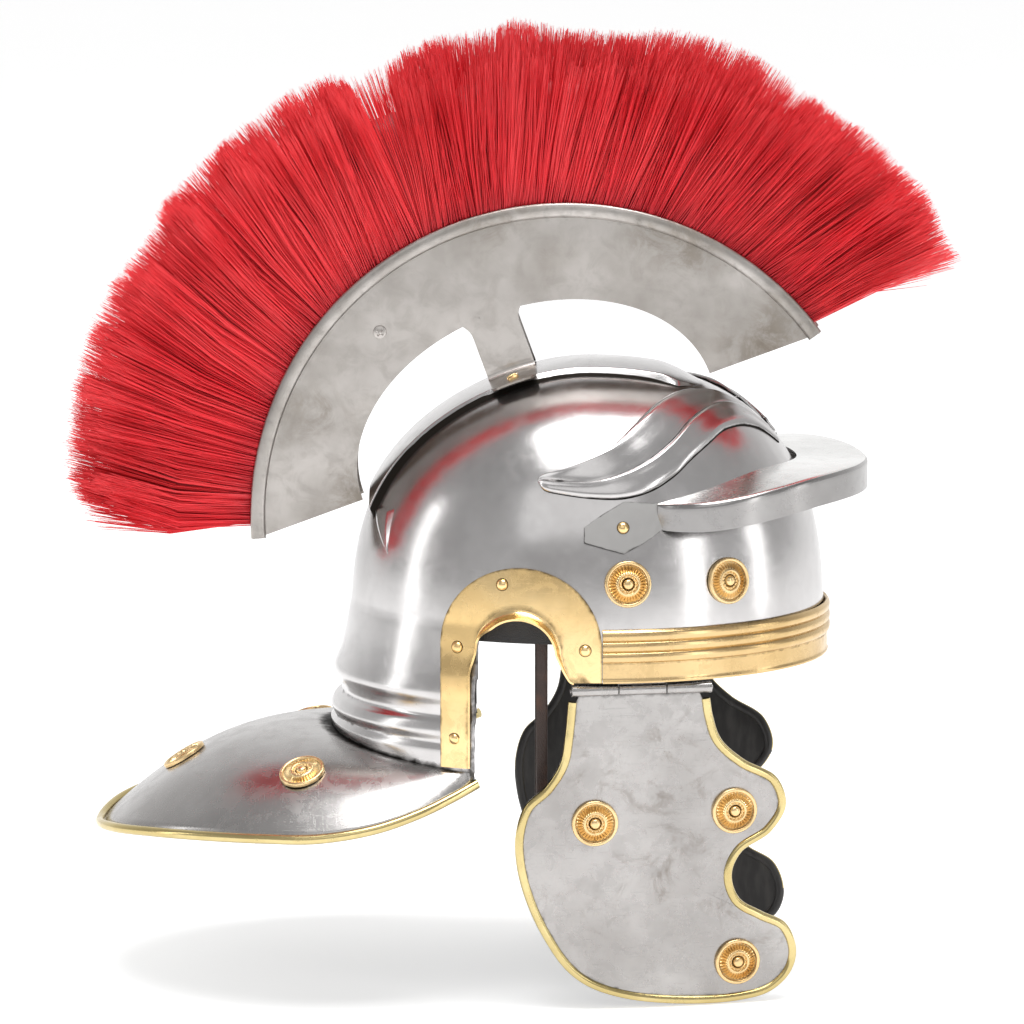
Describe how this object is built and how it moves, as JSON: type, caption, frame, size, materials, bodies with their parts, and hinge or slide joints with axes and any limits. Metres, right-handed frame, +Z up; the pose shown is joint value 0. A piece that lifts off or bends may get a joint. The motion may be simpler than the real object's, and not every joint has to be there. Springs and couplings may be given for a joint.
{
  "type": "roman legionary helmet",
  "caption": "Steel bowl helmet with peak, broad neck guard, brass trim, hinged cheek guards, a box with a fan-shaped bristle brush along the top, and a leather chin strap.",
  "frame": {"origin": "inside of the crown of the bowl, on the middle plane, where the helmet sits on a head", "axes": "+X to the wearer's front, +Y to the wearer's left, +Z up"},
  "size_m": [0.4388, 0.2238, 0.4691],
  "materials": {
    "polished_steel": "polished sheet steel with light handling scratches",
    "crest_steel": "dull sheet steel with brown smudges",
    "brass": "polished sheet brass",
    "rolled_brass": "bright rolled brass edging",
    "cast_brass": "cast brass with a soft sheen",
    "black_leather": "black leather",
    "brown_leather": "dark brown leather thong",
    "wood": "plain brown wood",
    "red_bristle": "dyed red bristle"
  },
  "bodies": {
    "helmet": {"bowl": "polished_steel", "visor": "polished_steel", "hinge_leaf_left": "polished_steel", "hinge_leaf_right": "polished_steel", "hinge_pin_left": "polished_steel", "hinge_pin_right": "polished_steel", "crest_plate_left": "crest_steel", "crest_plate_right": "crest_steel", "crest_screw_left": "crest_steel", "crest_screw_right": "crest_steel", "brow_band": "brass", "ear_trim_left": "brass", "ear_trim_right": "brass", "visor_rivet_left": "brass", "visor_rivet_right": "brass", "trim_rivet_1_left": "brass", "trim_rivet_1_right": "brass", "trim_rivet_2_left": "brass", "trim_rivet_2_right": "brass", "trim_rivet_3_left": "brass", "trim_rivet_3_right": "brass", "trim_rivet_4_left": "brass", "trim_rivet_4_right": "brass", "neck_rim": "rolled_brass", "neck_rosette_centre": "cast_brass", "neck_rosette_left": "cast_brass", "neck_rosette_right": "cast_brass", "brow_rosette_rear_left": "cast_brass", "brow_rosette_rear_right": "cast_brass", "brow_rosette_front_left": "cast_brass", "brow_rosette_front_right": "cast_brass", "liner": "black_leather", "chin_strap": "brown_leather", "crest_core": "wood", "crest_brush": "red_bristle"},
    "right_cheek": {"cheek_guard_right": "polished_steel", "cheek_edge_right": "rolled_brass", "cheek_rosette_rear_right": "cast_brass", "cheek_rosette_front_right": "cast_brass", "cheek_rosette_chin_right": "cast_brass"},
    "left_cheek": {"cheek_guard_left": "polished_steel", "cheek_edge_left": "rolled_brass", "cheek_rosette_rear_left": "cast_brass", "cheek_rosette_front_left": "cast_brass", "cheek_rosette_chin_left": "cast_brass"}
  },
  "joints": [
    {"name": "right_cheek_hinge", "type": "hinge", "parent": "helmet", "child": "right_cheek", "pos_m": [-0.0085, -0.097, -0.1432], "axis": [-0.9848, -0.1736, 0], "range_deg": [-8, 90]},
    {"name": "left_cheek_hinge", "type": "hinge", "parent": "helmet", "child": "left_cheek", "pos_m": [-0.0085, 0.097, -0.1432], "axis": [0.9848, -0.1736, 0], "range_deg": [-8, 90]}
  ]
}
